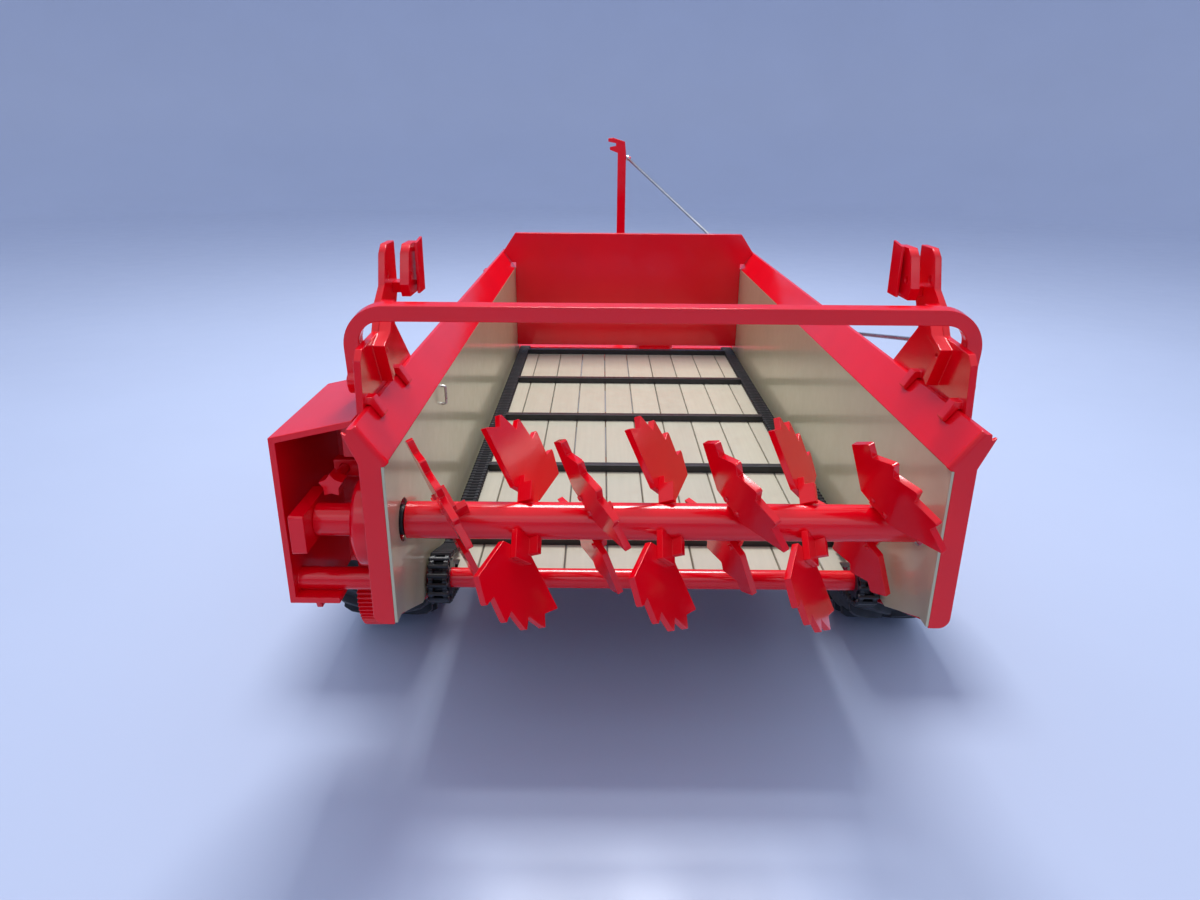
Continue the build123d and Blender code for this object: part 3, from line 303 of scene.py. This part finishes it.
def zinc_plate():
    """Bright zinc plating on small bolts: pale metal with a slightly cloudy surface."""
    colour = tuple(bpy.context.scene.spreader_colours.plating)
    material, tree, place, shader = start_material("Zinc plating", **{"Metallic": 1.0})
    link(tree, shade(tree, colour, noise(tree, place, 1.5, 3.0), 0.85, 1.08), shader, "Base Color")
    link(tree, spread(tree, noise(tree, place, 0.8, 3.0), 0.22, 0.42), shader, "Roughness")
    link(tree, bump(tree, noise(tree, place, 0.3, 2.0), 0.006, 0.4), shader, "Normal")
    return material


BOARD_COUNT = 10
MAKERS = {
    "Gloss enamel": enamel_paint,
    "Liner enamel": liner_paint,
    "Plank paint": plank_paint,
    "Black nylon": black_moulding,
    "Tyre rubber": tyre_rubber,
    "Drawn steel": drawn_steel,
    "Zinc plating": zinc_plate,
}


def finish_named(name):
    """The material of that name, made the first time it is asked for."""
    return bpy.data.materials.get(name) or MAKERS[name]()


def paint(obj, material_name):
    """Gives an object one material."""
    material = finish_named(material_name)
    if obj.material_slots:
        for slot in obj.material_slots:
            slot.material = material
    else:
        obj.data.materials.append(material)


def round_edges(obj, radius):
    """Rounds a CAD node's sharp edges as paint and moulding do, with modifiers only."""
    weld = obj.modifiers.new("Join seams", "WELD")
    weld.merge_threshold = 0.002 * MM
    flat = obj.modifiers.new("Merge flats", "DECIMATE")
    flat.decimate_type = "DISSOLVE"
    flat.angle_limit = math.radians(0.4)
    bevel = obj.modifiers.new("Round edges", "BEVEL")
    bevel.width = radius
    bevel.segments = 2
    bevel.limit_method = "ANGLE"
    bevel.angle_limit = math.radians(38.0)
    bevel.use_clamp_overlap = False
    bevel.miter_outer = "MITER_ARC"
    normals = obj.modifiers.new("Even shading", "WEIGHTED_NORMAL")
    normals.mode = "FACE_AREA"
    normals.weight = 60


def dress(nodes, material_name, radius=None):
    """Paints CAD nodes and rounds their edges."""
    for name in nodes:
        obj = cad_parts[name]
        paint(obj, material_name)
        if radius:
            round_edges(obj, radius)


# ---- mesh helpers ----------------------------------------------------------------------
class Shape:
    """Vertices and faces that pieces are put together from."""

    def __init__(self):
        self.points = []
        self.faces = []

    def add(self, points, faces):
        start = len(self.points)
        self.points += [tuple(p) for p in points]
        self.faces += [tuple(start + i for i in face) for face in faces]

    def made(self, name, smooth=True, angle=35.0):
        mesh = bpy.data.meshes.new(name)
        mesh.from_pydata(self.points, [], self.faces)
        mesh.validate()
        obj = bpy.data.objects.new(name, mesh)
        bpy.context.scene.collection.objects.link(obj)
        if smooth:
            mesh.shade_smooth()
            mesh.set_sharp_from_angle(angle=math.radians(angle))
        return obj


def lofted_bar(shape, sections):
    """Skin over closed sections that all have the same number of points, capped at its ends."""
    count = len(sections[0])
    points = [p for section in sections for p in section]
    faces = [tuple(reversed(range(count)))]
    for i in range(len(sections) - 1):
        for j in range(count):
            k = (j + 1) % count
            faces.append((i * count + j, i * count + k, (i + 1) * count + k, (i + 1) * count + j))
    last = (len(sections) - 1) * count
    faces.append(tuple(range(last, last + count)))
    shape.add(points, faces)


def rounded_loop(half_a, half_b, cut):
    """Eight-sided outline of a rectangle with cut corners, as pairs."""
    return [(half_a, -half_b + cut), (half_a, half_b - cut), (half_a - cut, half_b),
            (-half_a + cut, half_b), (-half_a, half_b - cut), (-half_a, -half_b + cut),
            (-half_a + cut, -half_b), (half_a - cut, -half_b)]


def chain_track():
    """Middle line of an apron chain in Y and Z: closed, starting at the rear of the floor."""
    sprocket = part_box("apron_sprockets")
    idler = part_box("idler_wheels")
    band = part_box("left_apron_chain")
    floor_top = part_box("floor_planks")[1].z
    rear = cad_middle("apron_sprockets")
    front = cad_middle("idler_wheels")
    rear_r = (sprocket[1].z - sprocket[0].z) / 2 + LINK_CLEARANCE
    front_r = (idler[1].z - idler[0].z) / 2 + LINK_CLEARANCE
    landing = (band[0].y + LANDING_BACK, floor_top + LINK_CLEARANCE)
    lift = (landing[0], front.z - front_r)

    def touch(point, side):
        """Angle on the sprocket where a straight run from the point touches it."""
        away = (point[0] - rear.y, point[1] - rear.z)
        distance = math.hypot(*away)
        return math.atan2(away[1], away[0]) + side * math.acos(rear_r / distance)

    def arc(centre, radius, start, end, steps):
        return [(centre.y + radius * math.cos(start + (end - start) * i / steps),
                 centre.z + radius * math.sin(start + (end - start) * i / steps))
                for i in range(steps + 1)]

    top = touch(landing, 1)
    low = touch(lift, -1)
    line = [landing]
    line += arc(front, front_r, math.pi / 2, -math.pi / 2, 24)
    line.append(lift)
    line += arc(rear, rear_r, low, top - 2 * math.pi, 24)
    return line


LINK_CLEARANCE = 0.3 * MM + 0.75 * MM
LANDING_BACK = 29.6 * MM


def along(line, distance):
    """Point and direction at a distance along a closed line."""
    for a, b in zip(line, line[1:] + line[:1]):
        span = math.hypot(b[0] - a[0], b[1] - a[1])
        if distance <= span and span > 0:
            direction = ((b[0] - a[0]) / span, (b[1] - a[1]) / span)
            return (a[0] + direction[0] * distance, a[1] + direction[1] * distance), direction
        distance -= span
    return line[0], (1.0, 0.0)


def link_chain(name, low_x, high_x, line, pitch):
    """One apron chain of hooked links: two side bars and a raised cross barrel in each."""
    total = sum(math.hypot(b[0] - a[0], b[1] - a[1]) for a, b in zip(line, line[1:] + line[:1]))
    count = round(total / pitch)
    step = total / count
    shape = Shape()
    barrel_r = 0.95 * MM
    bar_w = 1.5 * MM
    bar_h = 0.55 * MM
    sides = 8
    for i in range(count):
        at, way = along(line, (i + 0.5) * step)
        back, _ = along(line, i * step)
        ahead, _ = along(line, ((i + 1) * step) % total)
        up = (-way[1], way[0])
        outline = []
        for k in range(sides):
            angle = 2 * math.pi * (k + 0.5) / sides
            dy = barrel_r * 0.8 * math.cos(angle)
            dz = barrel_r * math.sin(angle) + 0.12 * MM
            outline.append((at[0] + way[0] * dy + up[0] * dz, at[1] + way[1] * dy + up[1] * dz))
        inset = 0.35 * MM
        sections = []
        for x, share in ((low_x, 0.7), (low_x + inset, 1.0), (high_x - inset, 1.0), (high_x, 0.7)):
            sections.append([(x, at[0] + (p[0] - at[0]) * share, at[1] + (p[1] - at[1]) * share)
                             for p in outline])
        lofted_bar(shape, sections)
        for side_x in (low_x + inset, high_x - inset - bar_w):
            ends = []
            for spot in (back, ahead):
                loop = [(side_x + bar_w / 2 + a, spot[0] + up[0] * b, spot[1] + up[1] * b)
                        for a, b in rounded_loop(bar_w / 2, bar_h, 0.2 * MM)]
                ends.append(loop)
            lofted_bar(shape, ends)
    return shape.made(name)


# ---- operators -------------------------------------------------------------------------
class SPREADER_OT_enamel(Operator):
    """Paint every red pressing and casting, and round its edges."""

    bl_idname = "spreader.enamel"
    bl_label = "Red Enamel"

    def execute(self, context):
        sizes = context.scene.spreader_sizes
        other = set(TAN_LINERS + BLACK_PARTS + STEEL_RODS + PLATED_BOLTS + REPLACED_PARTS)
        other.add("floor_planks")
        red = [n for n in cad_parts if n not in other]
        dress([n for n in red if n not in FINE_RED_PARTS], "Gloss enamel", sizes.edge_round)
        dress(FINE_RED_PARTS, "Gloss enamel", sizes.fine_round)
        return {"FINISHED"}


class SPREADER_OT_box_lining(Operator):
    """Paint the side liners and the floor planks."""

    bl_idname = "spreader.box_lining"
    bl_label = "Liners and Planks"

    def execute(self, context):
        sizes = context.scene.spreader_sizes
        dress(TAN_LINERS, "Liner enamel", sizes.fine_round)
        dress(["floor_planks"], "Plank paint", sizes.edge_round)
        return {"FINISHED"}


class SPREADER_OT_mouldings(Operator):
    """Finish the black slats, sprockets, idlers and bushes."""

    bl_idname = "spreader.mouldings"
    bl_label = "Black Mouldings"

    def execute(self, context):
        dress(BLACK_PARTS, "Black nylon", context.scene.spreader_sizes.fine_round)
        return {"FINISHED"}


class SPREADER_OT_bright_metal(Operator):
    """Finish the bare rods and the plated bolts."""

    bl_idname = "spreader.bright_metal"
    bl_label = "Rods and Bolts"

    def execute(self, context):
        sizes = context.scene.spreader_sizes
        dress(STEEL_RODS, "Drawn steel", sizes.fine_round)
        dress(PLATED_BOLTS, "Zinc plating", sizes.fine_round)
        return {"FINISHED"}


class SPREADER_OT_apron_chains(Operator):
    """Build the two apron chains link by link along the CAD chains' path."""

    bl_idname = "spreader.apron_chains"
    bl_label = "Apron Chains"

    def execute(self, context):
        line = chain_track()
        pitch = context.scene.spreader_sizes.link_pitch
        for side in ("left", "right"):
            node = side + "_apron_chain"
            low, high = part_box(node)
            chain = link_chain(side + "_link_chain", low.x, high.x, line, pitch)
            paint(chain, "Black nylon")
            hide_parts(node)
            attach(chain, "chassis")
        return {"FINISHED"}


def tyre_shape(low, high, lug_depth, lug_count, flip):
    """A tractor-type tyre inside the CAD tyre's box: a lathed carcass with bead, side rings and
    crown, and angled lugs that run from the shoulder to the middle of the tread."""
    middle = (low + high) / 2
    radius = (high.z - low.z) / 2
    half = (high.x - low.x) / 2
    crown = radius - lug_depth
    bead_r = radius - 19.0 * MM
    profile = [
        (-0.80, bead_r), (-0.84, bead_r + 1.2 * MM), (-0.93, bead_r + 2.4 * MM),
        (-0.955, bead_r + 3.4 * MM), (-0.95, bead_r + 3.9 * MM), (-0.99, bead_r + 5.6 * MM),
        (-1.0, bead_r + 8.0 * MM), (-0.985, bead_r + 10.6 * MM), (-0.97, bead_r + 10.9 * MM),
        (-0.955, bead_r + 12.6 * MM), (-0.90, crown - 1.9 * MM), (-0.80, crown - 0.9 * MM),
        (-0.55, crown - 0.35 * MM), (-0.25, crown - 0.05 * MM), (0.0, crown),
    ]
    profile += [(-x, r) for x, r in reversed(profile[:-1])]
    around = 144
    shape = Shape()
    ring = len(profile)
    points = []
    for i in range(around):
        angle = 2 * math.pi * i / around
        for x, r in profile:
            points.append((middle.x + x * half, middle.y + r * math.cos(angle),
                           middle.z + r * math.sin(angle)))
    faces = []
    for i in range(around):
        k = (i + 1) % around
        for j in range(ring):
            m = (j + 1) % ring
            faces.append((i * ring + j, i * ring + m, k * ring + m, k * ring + j))
    shape.add(points, faces)

    def crown_radius(x):
        """Carcass radius at a share of the half width."""
        spots = [(abs(a), r) for a, r in profile if r > crown - 3.0 * MM]
        spots.sort()
        for (xa, ra), (xb, rb) in zip(spots, spots[1:]):
            if xa <= abs(x) <= xb:
                t = 0 if xb == xa else (abs(x) - xa) / (xb - xa)
                return ra + (rb - ra) * t
        return spots[-1][1]

    sweep = math.radians(15.0)
    stations = [0.93, 0.80, 0.62, 0.42, 0.22, 0.06]
    for side in (-1, 1):
        offset = 0.0 if side < 0 else math.pi / lug_count
        for i in range(lug_count):
            start = 2 * math.pi * i / lug_count + offset
            sections = []
            for s, share in enumerate(stations):
                angle = start + flip * sweep * (1 - share)
                base = crown_radius(share) - 0.5 * MM
                drop = 1.6 * MM if s == 0 else 0.25 * MM if s == 1 else 0.0
                if s == len(stations) - 1:
                    drop = 0.3 * MM
                top = radius - drop - 0.35 * MM * share * share
                foot = 1.9 * MM / radius
                head = 1.3 * MM / radius
                x = middle.x + side * share * half
                section = []
                for turn, r in ((-foot, base), (-head, top - 0.25 * MM), (-head * 0.8, top),
                                (head * 0.8, top), (head, top - 0.25 * MM), (foot, base)):
                    a = angle + turn
                    section.append((x, middle.y + r * math.cos(a), middle.z + r * math.sin(a)))
                sections.append(section if side < 0 else list(reversed(section)))
            lofted_bar(shape, sections)
    return shape


class SPREADER_OT_tyres(Operator):
    """Build both tyres with moulded lugs, inside the CAD tyres' boxes."""

    bl_idname = "spreader.tyres"
    bl_label = "Tyres"

    def execute(self, context):
        sizes = context.scene.spreader_sizes
        for side in ("left", "right"):
            node = side + "_tyre"
            low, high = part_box(node)
            shape = tyre_shape(low, high, sizes.lug_depth, sizes.lug_count, 1)
            tyre = shape.made(side + "_lugged_tyre", angle=40.0)
            paint(tyre, "Tyre rubber")
            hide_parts(node)
            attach(tyre, side + "_wheel")
        return {"FINISHED"}


def swept_wire(name, points, radius):
    """A round wire along points, with capped ends."""
    curve = bpy.data.curves.new(name, "CURVE")
    curve.dimensions = "3D"
    curve.bevel_depth = radius
    curve.bevel_resolution = 3
    curve.use_fill_caps = True
    spline = curve.splines.new("NURBS")
    spline.points.add(len(points) - 1)
    for spot, p in zip(spline.points, points):
        spot.co = (*p, 1.0)
    spline.order_u = 3
    spline.use_endpoint_u = True
    spline.resolution_u = 6
    obj = bpy.data.objects.new(name, curve)
    bpy.context.scene.collection.objects.link(obj)
    return obj


class SPREADER_OT_wall_staple(Operator):
    """Add the small wire staple high on the left inner wall."""

    bl_idname = "spreader.wall_staple"
    bl_label = "Wall Staple"

    def execute(self, context):
        wall_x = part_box("left_liner")[1].x
        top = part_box("left_liner")[1].z
        rear_setback = 76.5 * MM
        below_top = 1.4 * MM
        leg_gap = 6.2 * MM
        corner = 1.0 * MM
        out = 1.6 * MM
        into_wall = 0.2 * MM
        wire_r = 0.45 * MM
        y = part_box("left_liner")[0].y + rear_setback
        z = top - below_top
        line = [(wall_x - into_wall, y, z), (wall_x + out, y, z), (wall_x + out, y, z - corner),
                (wall_x + out, y, z - leg_gap + corner), (wall_x + out, y, z - leg_gap),
                (wall_x - into_wall, y, z - leg_gap)]
        staple = swept_wire("wall_staple", line, wire_r)
        paint(staple, "Zinc plating")
        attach(staple, "chassis")
        return {"FINISHED"}


class SPREADER_OT_stage(Operator):
    """Add the pale sweep, the soft lamps and the camera."""

    bl_idname = "spreader.stage"
    bl_label = "Studio Stage"

    def execute(self, context):
        stage = context.scene.spreader_stage
        self.sweep(stage)
        self.lamps(context, stage)
        self.camera(context)
        return {"FINISHED"}

    def sweep(self, stage):
        """Round floor that curves up into a wall on every side."""
        flat = 1.9
        curve = 0.9
        wall = 1.1
        sink = 0.0002
        profile = [(0.0, 0.0), (flat * 0.5, 0.0), (flat, 0.0)]
        bends = 16
        for i in range(1, bends + 1):
            angle = math.pi / 2 * i / bends
            profile.append((flat + curve * math.sin(angle), curve * (1 - math.cos(angle))))
        profile.append((flat + curve, curve + wall))
        around = 96
        shape = Shape()
        points = [(0.0, 0.0, -sink)]
        for r, z in profile[1:]:
            for i in range(around):
                angle = 2 * math.pi * i / around
                points.append((r * math.cos(angle), r * math.sin(angle), z - sink))
        faces = [(0, 1 + i, 1 + (i + 1) % around) for i in range(around)]
        for j in range(len(profile) - 2):
            base = 1 + j * around
            for i in range(around):
                k = (i + 1) % around
                faces.append((base + i, base + around + i, base + around + k, base + k))
        shape.add(points, faces)
        floor = shape.made("pale_sweep")
        material, tree, place, shader = start_material("Matt laminate", **{
            "IOR": 1.45, "Metallic": 0.0})
        cloud = noise(tree, place, 220.0, 3.0)
        link(tree, shade(tree, tuple(stage.floor), cloud, 0.985, 1.015), shader, "Base Color")
        link(tree, spread(tree, noise(tree, place, 30.0, 4.0), 0.28, 0.34), shader, "Roughness")
        floor.data.materials.append(material)

    def lamp(self, name, power, size, at, aim, colour):
        data = bpy.data.lights.new(name, "AREA")
        data.shape = "RECTANGLE"
        data.size, data.size_y = size
        data.energy = power
        data.color = linear(colour, alpha=False)
        obj = bpy.data.objects.new(name, data)
        bpy.context.scene.collection.objects.link(obj)
        obj.location = at
        obj.rotation_euler = (Vector(aim) - Vector(at)).to_track_quat("-Z", "Y").to_euler()

    def lamps(self, context, stage):
        self.lamp("overhead_softbox", stage.key_power, (0.34, 0.34), (0.02, 0.3, 0.95),
                  (0.0, 0.0, 0.05), "#FFFFFF")
        self.lamp("fill_softbox", stage.fill_power, (1.4, 0.9), (0.0, -1.35, 0.85),
                  (0.0, -0.1, 0.05), "#EEF2FF")
        world = context.scene.world or bpy.data.worlds.new("Room")
        context.scene.world = world
        world.use_nodes = True
        back = world.node_tree.nodes["Background"]
        back.inputs["Color"].default_value = tuple(stage.sky)
        back.inputs["Strength"].default_value = stage.room_power
        context.scene.view_settings.view_transform = "Standard"

    def camera(self, context):
        """A wide lens just above the open rear, looking forward and down into the box."""
        sensor_width_mm = 36.0
        lens_mm = 24.9
        stand_point = (-0.01693, -0.47767, 0.19474)
        pitch, yaw, roll = math.radians(20.69), math.radians(0.05), math.radians(0.47)
        data = bpy.data.cameras.new("rear_camera")
        data.sensor_width = sensor_width_mm
        data.lens = lens_mm
        data.clip_start = 0.01
        camera = bpy.data.objects.new("rear_camera", data)
        context.scene.collection.objects.link(camera)
        ahead = Vector((math.sin(yaw) * math.cos(pitch), math.cos(yaw) * math.cos(pitch),
                        -math.sin(pitch)))
        level = Vector((math.cos(yaw), -math.sin(yaw), 0.0))
        upward = level.cross(ahead)
        right = math.cos(roll) * level + math.sin(roll) * upward
        up = -math.sin(roll) * level + math.cos(roll) * upward
        turn = Matrix((right, up, -ahead)).transposed().to_4x4()
        camera.matrix_world = Matrix.Translation(stand_point) @ turn
        context.scene.camera = camera


class VIEW3D_PT_spreader(Panel):
    """Lists the settings and the steps."""

    bl_label = "Box Spreader"
    bl_idname = "VIEW3D_PT_spreader"
    bl_space_type = "VIEW_3D"
    bl_region_type = "UI"
    bl_category = "Spreader"

    def draw(self, context):
        for group in ("spreader_colours", "spreader_sizes", "spreader_stage"):
            settings = getattr(context.scene, group)
            box = self.layout.box()
            for name in settings.__annotations__:
                box.prop(settings, name)
        for step in STEPS:
            self.layout.operator(step.bl_idname)


GROUPS = {
    "spreader_colours": SpreaderColours,
    "spreader_sizes": SpreaderSizes,
    "spreader_stage": SpreaderStage,
}
STEPS = (
    SPREADER_OT_enamel,
    SPREADER_OT_box_lining,
    SPREADER_OT_mouldings,
    SPREADER_OT_bright_metal,
    SPREADER_OT_apron_chains,
    SPREADER_OT_tyres,
    SPREADER_OT_wall_staple,
    SPREADER_OT_stage,
)


def register():
    for cls in (*GROUPS.values(), *STEPS, VIEW3D_PT_spreader):
        bpy.utils.register_class(cls)
    for name, cls in GROUPS.items():
        setattr(bpy.types.Scene, name, PointerProperty(type=cls))


def unregister():
    for name in GROUPS:
        delattr(bpy.types.Scene, name)
    for cls in reversed((*GROUPS.values(), *STEPS, VIEW3D_PT_spreader)):
        bpy.utils.unregister_class(cls)


def main():
    register()
    bpy.ops.spreader.enamel()
    bpy.ops.spreader.box_lining()
    bpy.ops.spreader.mouldings()
    bpy.ops.spreader.bright_metal()
    bpy.ops.spreader.apron_chains()
    bpy.ops.spreader.tyres()
    bpy.ops.spreader.wall_staple()
    bpy.ops.spreader.stage()


if __name__ == "__main__":
    main()
